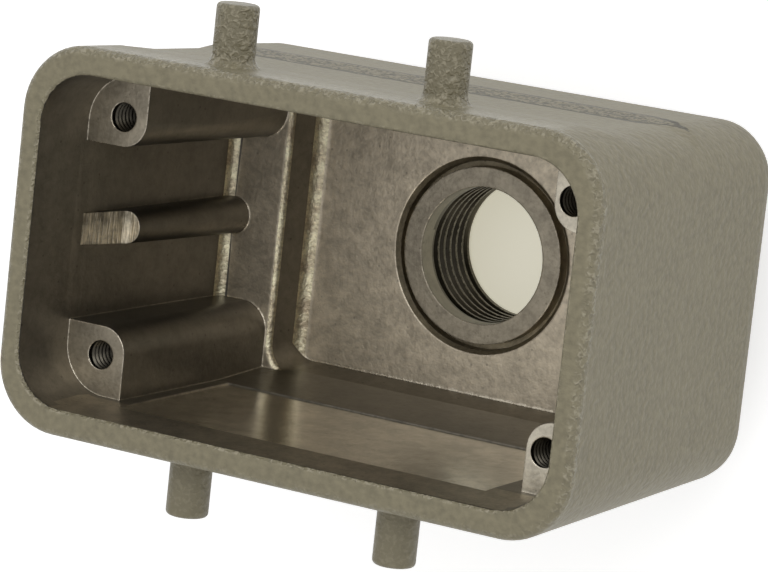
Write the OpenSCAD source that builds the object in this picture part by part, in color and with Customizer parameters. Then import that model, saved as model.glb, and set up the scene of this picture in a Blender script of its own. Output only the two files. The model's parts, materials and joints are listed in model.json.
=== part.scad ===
// Hood of a rectangular industrial connector, die cast in one piece. Sizes are millimetres.
// The mouth faces up (+Z), X runs along the long side, and the hood stands on the round
// face of its cable entry. Depths are measured down from the mouth.

/* [Mouth rim] */
// Outer length of the rim
rim_l = 72.7; // [70:0.1:84]
// Outer width of the rim
rim_w = 43.5; // [42:0.1:52]
// Outer corner radius of the rim
rim_corner_r = 7.8; // [7.6:0.1:11]
// Wall thickness at the short ends of the mouth
end_wall = 2.7; // [2:0.05:4]
// Wall thickness along the long sides of the mouth
side_wall = 3.1; // [2.6:0.05:4]
// Corner radius of the mouth opening
mouth_corner_r = 6; // [5.8:0.1:8]
// Rounding of the rim's outer edge
rim_edge_r = 1.1; // [0.4:0.1:1.3]
// Rounding of the rim's inner edge
mouth_edge_r = 0.5; // [0.2:0.1:0.9]

/* [Body] */
// Depth from the mouth to the outside of the closed end
body_depth = 46; // [44:0.1:60]
// Thickness of the closed end
floor_t = 3.1; // [2.2:0.1:5]
// Draft of the outer walls, in degrees
outer_draft = 1.6; // [0.5:0.1:2]
// Rounding round the closed end
back_edge_r = 4.6; // [2:0.1:5]

/* [Cavity] */
// Depth of the lead-in at the mouth
lead_in_depth = 8; // [3:0.5:8.5]
// Draft of the lead-in, in degrees
lead_in_draft = 3.4; // [1:0.1:4]
// Draft of the upper inner walls, in degrees
upper_draft = 0.8; // [0.2:0.1:1.2]
// Depth at which the inner walls change to the steeper draft
wall_break_depth = 29; // [24:0.5:35]
// Draft of the lower inner walls, in degrees
lower_draft = 4; // [2:0.1:8]
// Depth of the raised shelves at both ends
shelf_depth = 38; // [36.5:0.1:40]
// Distance from a screw hole's centre to the foot of the shelf's step, along X
shelf_foot = 5.5; // [4.5:0.1:7]
// Distance from the mouth's side to the floor's edge, along Y
floor_inset = 2.35; // [1.8:0.05:3]
// Corner radius of the floor
floor_corner_r = 2; // [1.2:0.1:3]
// Slope of the shelf's step, in degrees from upright
step_slope = 15; // [5:1:25]
// Fillet along the foot of the shelf's step
step_fillet_r = 1.6; // [0.5:0.1:2.5]
// Rounding of the shelf's edge
shelf_edge_r = 0.8; // [0.3:0.1:1.2]
// Draft of the inner faces of the end walls, in degrees
web_draft = 2.7; // [1.5:0.1:4]
// Fillet between an end wall and its shelf
web_fillet_r = 1.2; // [0.5:0.1:2]

/* [Insert seat] */
// Distance between the screw holes along X
hole_pitch_x = 57; // [55:0.1:58]
// Distance between the screw holes along Y
hole_pitch_y = 27; // [26:0.1:28]
// Depth of the milled boss faces that carry the insert
seat_depth = 9; // [8:0.1:12]
// Nose radius of a screw boss at its face
boss_nose_r = 3; // [2.6:0.1:4]
// Distance from a hole's centre to the inner side of its boss, along X, at the -X end
boss_reach_left = 3.1; // [2.2:0.1:4]
// The same distance at the +X end
boss_reach_right = 2.2; // [2.2:0.1:4]
// Distance from a hole's centre to the side of its boss along Y
boss_reach_y = 3.3; // [2.2:0.1:4]
// Draft of a screw boss, in degrees
boss_draft = 0.8; // [0.3:0.1:1.2]
// Core diameter of the M4 screw holes
hole_d = 3.3; // [2.4:0.1:3.6]
// Depth of the screw holes below the boss faces, without the drill point
hole_depth = 12; // [6:0.5:18]
// Clear width between the milled lands on the long walls, carried up to the mouth
land_w = 36.7; // [36.4:0.1:37.2]
// Length of the milled lands
land_l = 47; // [30:0.2:50]
// Depth at which the milled lands end
land_depth = 28.7; // [20:0.1:34]
// Draft of the milled lands, in degrees
land_draft = 0.6; // [0:0.1:0.7]

/* [End ribs] */
// Width of the rib in the middle of each end wall, at its upper end
rib_w = 3.6; // [2.5:0.1:5]
// Reach of the rib from the mouth's end towards the middle, at its upper end
rib_reach = 3.5; // [2.6:0.1:5]
// Depth at which the rib starts at the wall
rib_depth = 9.5; // [9:0.1:14]
// Depth of the level end of the rib's nose
rib_nose_depth = 16.4; // [14.5:0.1:24]
// Length of the level end of the rib's nose
rib_nose_l = 1.7; // [0.5:0.1:2.2]
// Rounding between the level end and the slope up to the wall
rib_nose_r = 1; // [0.3:0.1:1.2]

/* [Cable entry] */
// Diameter of the threaded bore's core
entry_d = 16; // [12:0.1:18]
// Outer diameter of the ring that is left round the bore
entry_ring_d = 20.6; // [19:0.1:22]
// Width of the groove round the ring
groove_w = 0.7; // [0.4:0.1:1.2]
// Depth of the groove
groove_depth = 1.8; // [0.5:0.1:2]
// Chamfer of the groove's outer edge
groove_chamfer = 0.5; // [0.1:0.1:0.8]
// Outer diameter of the entry's neck
neck_d = 27; // [25.6:0.1:28.6]
// Length of the neck below the closed end
neck_l = 9; // [5:0.1:16]
// Fillet between the neck and the closed end
neck_fillet_r = 1.6; // [0.5:0.1:2]
// Chamfer round the neck at its face
neck_chamfer = 0.5; // [0.2:0.1:0.8]
// Chamfer of the bore at the neck's face
entry_chamfer = 0.8; // [0.3:0.1:1.2]

/* [Locking pegs] */
// Distance between the pegs along X
peg_pitch = 26.7; // [22:0.1:30]
// Depth of the pegs' centres
peg_depth = 6.3; // [5.8:0.1:7]
// Diameter of a peg
peg_d = 4.75; // [3.5:0.05:5.2]
// Distance over the tips of opposite pegs
peg_span = 57; // [54:0.1:72]
// Fillet at the foot of a peg
peg_fillet_r = 1.4; // [0.6:0.1:1.6]
// Rounding of a peg's tip
peg_tip_r = 0.5; // [0.2:0.1:1]

/* [Side recess] */
// Depth at which the recess on the long side at +Y starts
recess_start = 10.5; // [10.4:0.1:12]
// Length of the recess's upper ramp
recess_ramp_in = 4.9; // [2:0.1:6]
// Length of the recess's lower ramp
recess_ramp_out = 4.7; // [2:0.1:6]
// Whole length of the recess, both ramps included
recess_run = 20.5; // [14:0.1:26]
// How far the recess is sunk into the wall
recess_t = 0.47; // [0.2:0.01:0.8]
// How much larger the recess's corner radius is than the wall's, which makes it run out
recess_fade_r = 1.1; // [0.6:0.1:3]

/* [Hidden] */
$fn = 96;
cut_gap = 1;
arc_steps = 6;
hood_h = body_depth + neck_l;
mouth_l = rim_l - 2 * end_wall;
mouth_w = rim_w - 2 * side_wall;
floor_depth = body_depth - floor_t;
hole_x = hole_pitch_x / 2;
hole_y = hole_pitch_y / 2;
floor_half_l = hole_x - shelf_foot;
floor_half_w = mouth_w / 2 - floor_inset;
paint = [0.53, 0.51, 0.43];

// Height of a depth below the mouth
function at(depth) = hood_h - depth;

// How far a wall with a draft has moved in over a depth
function drawn_in(draft, depth) = tan(draft) * depth;

// Points of an arc, both ends included
function arc(centre, r, from, to) = [
    for (i = [0:arc_steps])
        let (a = from + (to - from) * i / arc_steps)
        [centre[0] + r * cos(a), centre[1] + r * sin(a)]
];

// Outer wall in section, from the middle of a corner outwards
function outer_outline() =
    let (back_r = rim_corner_r - drawn_in(outer_draft, body_depth - back_edge_r))
    concat(
        [[0, at(body_depth)]],
        arc([back_r - back_edge_r, at(body_depth - back_edge_r)], back_edge_r, -90, 0),
        arc([rim_corner_r - rim_edge_r, at(rim_edge_r)], rim_edge_r, 0, 90),
        [[0, at(0)]]
    );

// Inner wall in section, running on below the floor and above the mouth
function inner_outline() =
    let (
        lead_in_r = mouth_corner_r - drawn_in(lead_in_draft, lead_in_depth),
        break_r = lead_in_r - drawn_in(upper_draft, wall_break_depth - lead_in_depth),
        run = floor_depth + cut_gap - wall_break_depth
    )
    concat(
        [
            [0, at(floor_depth + cut_gap)],
            [break_r - drawn_in(lower_draft, run), at(floor_depth + cut_gap)],
            [break_r, at(wall_break_depth)],
            [lead_in_r, at(lead_in_depth)]
        ],
        arc([mouth_corner_r + mouth_edge_r, at(mouth_edge_r)], mouth_edge_r, 180, 90),
        [
            [mouth_corner_r + mouth_edge_r, at(-cut_gap)],
            [0, at(-cut_gap)]
        ]
    );

// The low part of the cavity in section: floor, step and the shelf's rounded edge
function step_outline() =
    let (
        edge_centre_z = at(shelf_depth + shelf_edge_r),
        slope_top_z = edge_centre_z + shelf_edge_r * sin(step_slope),
        slope_top_x = floor_corner_r + tan(step_slope) * (slope_top_z - at(floor_depth)),
        edge_centre_x = slope_top_x + shelf_edge_r * cos(step_slope)
    )
    concat(
        [[0, at(floor_depth)], [floor_corner_r, at(floor_depth)]],
        arc([edge_centre_x, edge_centre_z], shelf_edge_r, 180 - step_slope, 90),
        [
            [edge_centre_x, at(shelf_depth - cut_gap)],
            [0, at(shelf_depth - cut_gap)]
        ]
    );

// Sweeps a section round a rounded rectangle. The section's first coordinate is measured
// from the corner centres, which lie at (core_x, core_y), and its second is the height.
module swept(core_x, core_y, outline) {
    low = min([for (p = outline) p[1]]);
    high = max([for (p = outline) p[1]]);
    translate([-core_x, -core_y, low])
        cube([2 * core_x, 2 * core_y, high - low]);
    for (quarter = [0:3])
        let (
            sx = (quarter == 0 || quarter == 3) ? 1 : -1,
            sy = quarter < 2 ? 1 : -1
        )
        translate([sx * core_x, sy * core_y, 0])
            rotate([0, 0, 90 * quarter])
                rotate_extrude(angle = 90) polygon(outline);
    both_sides()
        translate([-core_x, core_y, 0])
            rotate([90, 0, 90]) linear_extrude(2 * core_x) polygon(outline);
    both_ends()
        translate([core_x, core_y, 0])
            rotate([90, 0, 0]) linear_extrude(2 * core_y) polygon(outline);
}

// Repeats what is drawn at +Y on the other long side
module both_sides() {
    children();
    mirror([0, 1, 0]) children();
}

// Repeats what is drawn at +X at the other end
module both_ends() {
    children();
    mirror([1, 0, 0]) children();
}

// Outer form of the casting without its neck and pegs
module outer_form() {
    swept(rim_l / 2 - rim_corner_r, rim_w / 2 - rim_corner_r, outer_outline());
}

// Round neck that carries the cable entry's thread
module neck() {
    foot_z = at(body_depth);
    r = neck_d / 2;
    rotate_extrude() polygon(concat(
        [[0, 0], [r - neck_chamfer, 0], [r, neck_chamfer]],
        arc([r + neck_fillet_r, foot_z - neck_fillet_r], neck_fillet_r, 180, 90),
        [[r + neck_fillet_r, foot_z + cut_gap], [0, foot_z + cut_gap]]
    ));
}

// One locking peg, standing on the long side at +Y
module peg() {
    r = peg_d / 2;
    tip = peg_span / 2;
    foot = rim_w / 2 - drawn_in(outer_draft, peg_depth + r + peg_fillet_r);
    translate([0, 0, at(peg_depth)])
        rotate([-90, 0, 0])
            rotate_extrude() polygon(concat(
                [[0, foot - cut_gap], [r + peg_fillet_r, foot - cut_gap]],
                arc([r + peg_fillet_r, foot + peg_fillet_r], peg_fillet_r, 270, 180),
                arc([r - peg_tip_r, tip - peg_tip_r], peg_tip_r, 0, 90),
                [[0, tip]]
            ));
}

// What is cut away for the shallow recess along the long side at +Y. Its bed follows the
// wall's draft, and at the corners it bends round a larger radius, so that it runs out there.
module side_recess() {
    bed_r = rim_corner_r + recess_fade_r;
    bend_y = rim_w / 2 - bed_r - recess_t;
    bed_start = recess_start + recess_ramp_in;
    bed_end = recess_start + recess_run - recess_ramp_out;
    bed_top = bed_r - drawn_in(outer_draft, bed_start);
    bed_low = bed_r - drawn_in(outer_draft, bed_end);
    out = bed_r + recess_t + cut_gap;
    top = at(bed_start - (out - bed_top) * recess_ramp_in / recess_t);
    low = at(bed_end + (out - bed_low) * recess_ramp_out / recess_t);
    difference() {
        translate([-rim_l / 2 - cut_gap, 0, low])
            cube([rim_l + 2 * cut_gap, rim_w / 2 + cut_gap, top - low]);
        swept(rim_l / 2 - rim_corner_r, bend_y, [
            [0, low - cut_gap],
            [out, low - cut_gap],
            [out, low],
            [bed_low, at(bed_end)],
            [bed_top, at(bed_start)],
            [out, top],
            [out, top + cut_gap],
            [0, top + cut_gap]
        ]);
    }
}

// Hollow of the hood before the bosses, ribs and webs are left standing in it
module cavity() {
    intersection() {
        swept(mouth_l / 2 - mouth_corner_r, mouth_w / 2 - mouth_corner_r, inner_outline());
        union() {
            translate([-rim_l / 2, -rim_w / 2, at(shelf_depth)])
                cube([rim_l, rim_w, shelf_depth + 2 * cut_gap]);
            swept(floor_half_l - floor_corner_r, floor_half_w - floor_corner_r, step_outline());
        }
    }
}

// Screw boss at +X and +Y: a conical nose with two drafted flanks that run into the walls
module screw_boss(reach_x) {
    nose_x = hole_x - reach_x + boss_nose_r;
    nose_y = hole_y - boss_reach_y + boss_nose_r;
    drop = body_depth - seat_depth;
    widen = drawn_in(boss_draft, drop);
    top = at(seat_depth);
    low = top - drop;
    translate([nose_x, nose_y, low])
        cylinder(h = drop, r1 = boss_nose_r + widen, r2 = boss_nose_r);
    translate([nose_x, 0, 0])
        rotate([90, 0, 90]) linear_extrude(rim_l / 2 - nose_x) polygon([
            [nose_y - boss_nose_r, top], [rim_w / 2, top],
            [rim_w / 2, low], [nose_y - boss_nose_r - widen, low]
        ]);
    translate([0, rim_w / 2, 0])
        rotate([90, 0, 0]) linear_extrude(rim_w / 2 - nose_y) polygon([
            [nose_x - boss_nose_r, top], [rim_l / 2, top],
            [rim_l / 2, low], [nose_x - boss_nose_r - widen, low]
        ]);
}

// Round-nosed rib in the middle of the end wall at +X. It leans in with the wall, widens
// with its own draft, and ends in a level nose and a steep slope up to the wall.
module end_rib() {
    r = rib_w / 2;
    drop = body_depth - rib_depth;
    widen = drawn_in(boss_draft, drop);
    wall_x = mouth_l / 2 - drawn_in(web_draft, rib_depth);
    tip_x = mouth_l / 2 - rib_reach;
    bend_x = tip_x + rib_nose_l - rib_nose_r;
    bend_z = at(rib_nose_depth) + rib_nose_r;
    difference() {
        translate([tip_x + r, 0, at(rib_depth)]) rotate([0, web_draft - boss_draft, 0]) {
            translate([0, 0, -drop])
                cylinder(h = drop + cut_gap, r1 = r + widen, r2 = r);
            rotate([90, 0, 90]) linear_extrude(rib_reach + end_wall) polygon([
                [-r, cut_gap], [-r - widen, -drop], [r + widen, -drop], [r, cut_gap]
            ]);
        }
        translate([0, drop / 2, 0]) rotate([90, 0, 0]) linear_extrude(drop) polygon(concat(
            arc([bend_x, bend_z], rib_nose_r, -90, 0),
            [[wall_x, at(rib_depth)], [rim_l / 2, at(rib_depth)], [rim_l / 2, at(0)], [0, at(0)],
             [0, at(rib_nose_depth)]]
        ));
    }
}

// Drafted inner face of the end wall at +X, with its fillet to the shelf
module end_web() {
    start = seat_depth / 2;
    run = shelf_depth - web_fillet_r;
    low_x = mouth_l / 2 - drawn_in(web_draft, run);
    translate([0, rim_w / 2, 0])
        rotate([90, 0, 0]) linear_extrude(rim_w) polygon(concat(
            [[mouth_l / 2 - drawn_in(web_draft, start), at(start)]],
            arc([low_x - web_fillet_r, at(run)], web_fillet_r, 0, -90),
            [[low_x - web_fillet_r, at(body_depth)], [rim_l / 2, at(body_depth)], [rim_l / 2, at(start)]]
        ));
}

// Fillet along the foot of the step at +X. Past the floor's corners it bends away from
// the floor and runs out in the long walls.
module step_fillet() {
    turn_x = floor_half_l - floor_corner_r;
    foot_r = floor_corner_r + tan(step_slope) * step_fillet_r;
    start_r = foot_r - step_fillet_r / cos(step_slope);
    turn_y = floor_half_w - start_r;
    outline = concat(
        arc([start_r, at(floor_depth) + step_fillet_r], step_fillet_r, -90, -step_slope),
        [
            [foot_r + step_fillet_r, at(floor_depth) + step_fillet_r * (1 - sin(step_slope))],
            [foot_r + step_fillet_r, at(body_depth)],
            [start_r, at(body_depth)]
        ]
    );
    translate([turn_x, turn_y, 0])
        rotate([90, 0, 0]) linear_extrude(2 * turn_y) polygon(outline);
    both_sides()
        translate([turn_x, turn_y, 0]) rotate_extrude(angle = 90) polygon(outline);
}

// Milled land on the long wall at +Y. It has less draft than the cast wall round it, so it
// starts level with the lead-in and ends in a low riser.
module side_land() {
    mouth_y = land_w / 2;
    translate([-land_l / 2, 0, 0])
        rotate([90, 0, 90]) linear_extrude(land_l) polygon([
            [0, at(land_depth)],
            [mouth_y - drawn_in(land_draft, land_depth), at(land_depth)],
            [mouth_y, at(0)],
            [0, at(0)]
        ]);
}

// Blind screw hole at +X and +Y, with its drill point
module screw_hole() {
    point_h = hole_d / 2 / tan(59);
    translate([hole_x, hole_y, at(seat_depth + hole_depth)]) {
        cylinder(h = hole_depth + cut_gap, d = hole_d);
        translate([0, 0, -point_h]) cylinder(h = point_h, d1 = 0, d2 = hole_d);
    }
}

// Bore of the cable entry, with the groove round its ring and the chamfer at the neck's face
module entry_bore() {
    ring_r = entry_ring_d / 2;
    translate([0, 0, -cut_gap]) cylinder(h = at(floor_depth) + 2 * cut_gap, d = entry_d);
    translate([0, 0, -cut_gap])
        cylinder(
            h = cut_gap + entry_chamfer,
            r1 = entry_d / 2 + entry_chamfer + cut_gap,
            r2 = entry_d / 2
        );
    difference() {
        union() {
            translate([0, 0, at(floor_depth + groove_depth)])
                cylinder(h = groove_depth + cut_gap, r = ring_r + groove_w);
            translate([0, 0, at(floor_depth + groove_chamfer)])
                cylinder(
                    h = groove_chamfer + cut_gap,
                    r1 = ring_r + groove_w,
                    r2 = ring_r + groove_w + groove_chamfer + cut_gap
                );
        }
        translate([0, 0, at(body_depth)])
            cylinder(h = floor_t + 2 * cut_gap, r = ring_r);
    }
}

// The whole casting
module hood() {
    color(paint) difference() {
        union() {
            difference() {
                outer_form();
                side_recess();
            }
            neck();
            both_sides() both_ends() translate([peg_pitch / 2, 0, 0]) peg();
        }
        difference() {
            cavity();
            both_sides() {
                screw_boss(boss_reach_right);
                mirror([1, 0, 0]) screw_boss(boss_reach_left);
            }
            both_ends() {
                end_rib();
                end_web();
                step_fillet();
            }
        }
        both_sides() side_land();
        both_sides() both_ends() screw_hole();
        entry_bore();
    }
}

hood();
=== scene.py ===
"""Looks of a die-cast connector hood: threads, worn edges, paint, bare metal and a stage."""
import json
import math

import bpy
from mathutils import Euler, Matrix, Vector


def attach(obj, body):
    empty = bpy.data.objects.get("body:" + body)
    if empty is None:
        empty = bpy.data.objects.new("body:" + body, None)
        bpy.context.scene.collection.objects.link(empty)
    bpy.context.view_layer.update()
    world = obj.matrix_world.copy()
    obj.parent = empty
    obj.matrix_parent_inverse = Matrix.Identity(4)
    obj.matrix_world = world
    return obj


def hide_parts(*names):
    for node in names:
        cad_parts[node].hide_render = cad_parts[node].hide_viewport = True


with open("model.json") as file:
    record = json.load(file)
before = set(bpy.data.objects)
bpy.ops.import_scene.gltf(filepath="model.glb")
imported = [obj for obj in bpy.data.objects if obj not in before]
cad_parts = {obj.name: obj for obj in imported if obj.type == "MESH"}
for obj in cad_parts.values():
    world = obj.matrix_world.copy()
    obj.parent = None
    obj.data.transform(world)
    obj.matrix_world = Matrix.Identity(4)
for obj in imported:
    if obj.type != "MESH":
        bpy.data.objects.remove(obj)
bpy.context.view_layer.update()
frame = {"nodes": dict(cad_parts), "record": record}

bl_info = {
    "name": "Connector hood finish",
    "version": (1, 0, 0),
    "blender": (4, 5, 0),
    "location": "View3D > Sidebar > Hood",
    "description": "Cuts the threads of a die-cast connector hood and gives it paint and bare metal",
    "category": "Object",
}

MM = 0.001
PIECE = "hood_casting"

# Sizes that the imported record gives.
MOUNTS = {mount["name"]: mount for mount in frame["record"]["mounts"]}
ENTRY = MOUNTS["cable_entry"]
SCREWS = MOUNTS["insert_screws"]
HOOD_TOP = MOUNTS["mouth_rim"]["pos_m"][2]
SEAT_Z = SCREWS["pos_m"][2]
HOLE_X = SCREWS["dims"]["spacing_x_mm"] / 2 * MM
HOLE_Y = SCREWS["dims"]["spacing_y_mm"] / 2 * MM
HOLE_R = SCREWS["dims"]["hole_r_mm"] * MM
ENTRY_R = ENTRY["dims"]["r_mm"] * MM
FLOOR_Z = ENTRY["pos_m"][2] + ENTRY["dims"]["length_mm"] / 2 * MM
ENTRY_CHAMFER_Z = ENTRY["pos_m"][2] - ENTRY["dims"]["length_mm"] / 2 * MM

# Sizes of the solid hood that the record doesn't give, and the axis of its entry.
MOUTH_HALF_L = 33.65 * MM
MOUTH_HALF_W = 18.65 * MM
MOUTH_CORNER_R = 6 * MM
SHELF_Z = 17 * MM
FLOOR_HALF_W = 16.3 * MM
HOLE_LOW_Z = 34 * MM
RING_R = 10.3 * MM
GROOVE_R = 11 * MM
LAND_HALF_L = 23.5 * MM
LAND_LOW_Z = 26.3 * MM
LEAD_IN_Z = 47.2 * MM
RAMP_Z = 26.35 * MM
AXIS = (0, 0)

# Angles in degrees at which a border between the solid's faces shows as an edge: a slight
# bend, up to the step between two strips of a rounding, and anything from a true corner on.
SOFT_BEND = 1.2
STRIP_BEND = 11.5
SHARP_BEND = 33

# A thread's profile as shares of its pitch and depth, the shares of a pitch over which it
# runs out, and the plain strip left at each end for the bridge to the casting.
THREAD_PROFILE = ((0, 0), (0.22, 0), (0.57, 1), (0.65, 1), (1, 0))
RUN_OUT = 0.8
BRIDGE = 0.08 * MM
ENTRY_TAIL = 0.3 * MM
ENTRY_STEPS = 96
SCREW_TAIL = 1 * MM
SCREW_STEPS = 48


def linear(hex_colour):
    """Turns an sRGB hex colour into the linear values that Blender's sockets read."""
    parts = [int(hex_colour[i:i + 2], 16) / 255 for i in (1, 3, 5)]
    return [c / 12.92 if c <= 0.04045 else ((c + 0.055) / 1.055) ** 2.4 for c in parts]


def colour_prop(name, description, hex_colour):
    """A colour in the panel, whose default is an sRGB hex colour."""
    return bpy.props.FloatVectorProperty(
        name=name, description=description, subtype="COLOR", size=3,
        min=0, max=1, default=linear(hex_colour))


def length_prop(name, description, default):
    """A length in the panel, in metres."""
    return bpy.props.FloatProperty(
        name=name, description=description, default=default, min=0,
        subtype="DISTANCE", unit="LENGTH", precision=5)


class HoodFinish(bpy.types.PropertyGroup):
    paint: colour_prop("Paint", "Colour of the textured paint outside", "#857E67")
    # Paler than the paint, for the beads' painted highlights.
    bead_highlight: colour_prop("Paint bead", "Colour of the paint's beads along the edges", "#ACA48E")
    wall: colour_prop("Cast wall", "Colour of the bare walls, bosses and ribs", "#8A857B")
    # Paler than the wall's colour as painted light on the upward faces.
    floor: colour_prop("Cast floor", "Colour of the bare floor", "#DED2BD")
    milled: colour_prop("Milled land", "Colour of the lands on the long walls", "#DBD6CB")
    faced: colour_prop("Spot face", "Colour of the boss faces and the ring", "#AEA594")
    # A paler copy of the spot face, painted as light on the bosses at +X.
    clean: colour_prop("Clean face", "Colour of the boss faces at +X", "#DAD2C0")
    groove: colour_prop("Groove", "Colour of the groove round the entry", "#9A907B")
    # Darkened as painted shade deep in the holes.
    tapped: colour_prop("Thread", "Colour of the oily cut threads", "#57534A")
    # Partly tumbled metal, partly painted highlights on the fillets.
    tumbled: colour_prop("Tumbled and highlit strip", "Colour of the brightened fillets", "#E8D6BA")
    # Partly wear, partly painted highlights on edges and corners.
    worn_and_highlight: colour_prop("Worn edge", "Colour of the thin edges, worn and painted as highlights", "#F2E8D4")
    trimmed: colour_prop("Trimmed end", "Colour of the ribs' trimmed ends", "#CDC3AE")


class HoodThreads(bpy.types.PropertyGroup):
    entry_pitch: length_prop("Entry pitch", "Pitch of the cable entry's thread", 1.41 * MM)
    entry_depth: length_prop("Entry depth", "Depth of the cable entry's thread", 0.62 * MM)
    entry_lead: length_prop("Entry lead-in", "Plain length above the entry's thread", 2.6 * MM)
    screw_pitch: length_prop("Screw pitch", "Pitch of the insert screws' thread", 0.7 * MM)
    screw_depth: length_prop("Screw depth", "Depth of the insert screws' thread", 0.33 * MM)
    screw_lead: length_prop("Screw lead-in", "Plain length above a screw's thread", 0.15 * MM)


class HoodStage(bpy.types.PropertyGroup):
    fill: bpy.props.FloatProperty(
        name="Fill", description="Strength of the even light from all round", default=0.66, min=0)
    key_power: bpy.props.FloatProperty(
        name="Key power", description="Power of the large soft lamp over the mouth", default=1.15,
        min=0, subtype="POWER", unit="POWER")
    side_power: bpy.props.FloatProperty(
        name="Side power", description="Power of the soft lamp beside the right end", default=0.12,
        min=0, subtype="POWER", unit="POWER")
    floor_glow: bpy.props.FloatProperty(
        name="Floor glow", description="Share of the floor's white that needs no light",
        default=0.5, min=0, max=1, subtype="FACTOR")


def activate(obj):
    """Leaves obj alone selected and active."""
    bpy.ops.object.select_all(action="DESELECT")
    obj.select_set(True)
    bpy.context.view_layer.objects.active = obj


def piece():
    """The visible casting."""
    return bpy.data.objects[PIECE]


def enter_edit(obj, mode):
    """Edit mode on obj with nothing selected."""
    activate(obj)
    bpy.ops.object.mode_set(mode="EDIT")
    bpy.ops.mesh.select_mode(type=mode)
    bpy.ops.mesh.select_all(action="DESELECT")


def pick_faces(obj, test):
    """Selects the faces whose centre and normal pass the test, and stays in edit mode."""
    enter_edit(obj, "FACE")
    bpy.ops.object.mode_set(mode="OBJECT")
    for face in obj.data.polygons:
        face.select = test(face.center, face.normal, face)
    bpy.ops.object.mode_set(mode="EDIT")


def pick_edges(obj, test):
    """Selects the edges whose end points pass the test, and stays in edit mode."""
    enter_edit(obj, "EDGE")
    bpy.ops.object.mode_set(mode="OBJECT")
    points = obj.data.vertices
    for edge in obj.data.edges:
        edge.select = test(points[edge.vertices[0]].co, points[edge.vertices[1]].co)
    bpy.ops.object.mode_set(mode="EDIT")


def leave_edit():
    """Back to object mode, with the selection kept."""
    bpy.ops.object.mode_set(mode="OBJECT")


def radius_at(co, centre):
    """Distance from an upright axis through centre."""
    return math.hypot(co.x - centre[0], co.y - centre[1])


def smoothstep(t):
    """Rises from 0 to 1 with a level start and end, and stays there past both."""
    t = min(max(t, 0), 1)
    return t * t * (3 - 2 * t)


def helical_wall(name, core_r, pitch, depth, top, low, lead, tail, steps):
    """Threaded wall of a hole, made by screwing one thread profile, cut level at both ends."""
    mesh = bpy.data.meshes.new(name)
    wall = bpy.data.objects.new(name, mesh)
    bpy.context.scene.collection.objects.link(wall)
    mesh.from_pydata(
        [(core_r + depth * d, 0, z * pitch) for z, d in THREAD_PROFILE],
        [(i, i + 1) for i in range(len(THREAD_PROFILE) - 1)], [])
    activate(wall)
    bpy.ops.object.mode_set(mode="EDIT")
    bpy.ops.mesh.select_all(action="SELECT")
    turns = math.ceil((top - low) / pitch) + 3
    bpy.ops.mesh.screw(steps=steps, turns=turns, center=(0, 0, 0), axis=(0, 0, 1))
    bpy.ops.mesh.select_all(action="SELECT")
    bpy.ops.mesh.remove_doubles(threshold=1e-6)
    leave_edit()
    high = max(v.co.z for v in mesh.vertices)
    for v in mesh.vertices:
        v.co.z += top + 1.5 * pitch - high
        r = math.hypot(v.co.x, v.co.y)
        near_top = smoothstep((top - lead - v.co.z) / (RUN_OUT * pitch))
        near_low = smoothstep((v.co.z - low - tail) / (RUN_OUT * pitch))
        k = (core_r + (r - core_r) * near_top * near_low) / r
        v.co.x *= k
        v.co.y *= -k
    activate(wall)
    for height, normal in ((top - BRIDGE, 1), (low + BRIDGE, -1)):
        bpy.ops.object.mode_set(mode="EDIT")
        bpy.ops.mesh.select_all(action="SELECT")
        bpy.ops.mesh.bisect(
            plane_co=(0, 0, height), plane_no=(0, 0, normal), clear_outer=True, use_fill=False,
            threshold=1e-7)
        leave_edit()
    return wall


def swap_hole_wall(wall, centre, core_r, top, low):
    """Takes a plain hole wall out of the casting and bridges the threaded one in."""
    for v in wall.data.vertices:
        v.co.x += centre[0]
        v.co.y += centre[1]
    hood = piece()
    slack = 0.03 * MM

    def on_wall(co):
        return abs(radius_at(co, centre) - core_r) < slack and low - slack < co.z < top + slack

    points = hood.data.vertices
    pick_faces(hood, lambda c, n, f: all(on_wall(points[i].co) for i in f.vertices)
               and abs(n.z) < 0.1)
    bpy.ops.mesh.delete(type="FACE")
    leave_edit()
    activate(hood)
    wall.select_set(True)
    bpy.ops.object.join()
    for height in (top, low):
        enter_edit(hood, "EDGE")
        bpy.ops.mesh.select_non_manifold(
            extend=False, use_wire=False, use_boundary=True, use_multi_face=False,
            use_non_contiguous=False, use_verts=False)
        leave_edit()
        mesh = hood.data
        for edge in mesh.edges:
            if edge.select:
                ends = [mesh.vertices[i].co for i in edge.vertices]
                edge.select = all(
                    abs(co.z - height) < BRIDGE + slack and on_wall(co) for co in ends)
        bpy.ops.object.mode_set(mode="EDIT")
        bpy.ops.mesh.bridge_edge_loops()
        leave_edit()
    enter_edit(hood, "FACE")
    bpy.ops.mesh.select_all(action="SELECT")
    bpy.ops.mesh.normals_make_consistent(inside=False)
    leave_edit()


def place_key(a, b):
    """The same key for an edge on both of the faces that meet there."""
    return frozenset(tuple(round(c * 1e6) for c in co) for co in (a, b))


def crease_angles(mesh):
    """True angle at each border between the solid's faces, from the normals it came with."""
    sides = {}
    count = {}
    for edge_index in (loop.edge_index for loop in mesh.loops):
        count[edge_index] = count.get(edge_index, 0) + 1
    points = mesh.vertices
    for face in mesh.polygons:
        loops = list(face.loop_indices)
        for here, there in zip(loops, loops[1:] + loops[:1]):
            if count[mesh.loops[here].edge_index] > 1:
                continue
            a = points[mesh.loops[here].vertex_index].co
            b = points[mesh.loops[there].vertex_index].co
            normal = mesh.corner_normals[here].vector + mesh.corner_normals[there].vector
            sides.setdefault(place_key(a, b), []).append(normal.normalized())
    return {k: v[0].angle(v[1]) for k, v in sides.items() if len(v) == 2}


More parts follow.
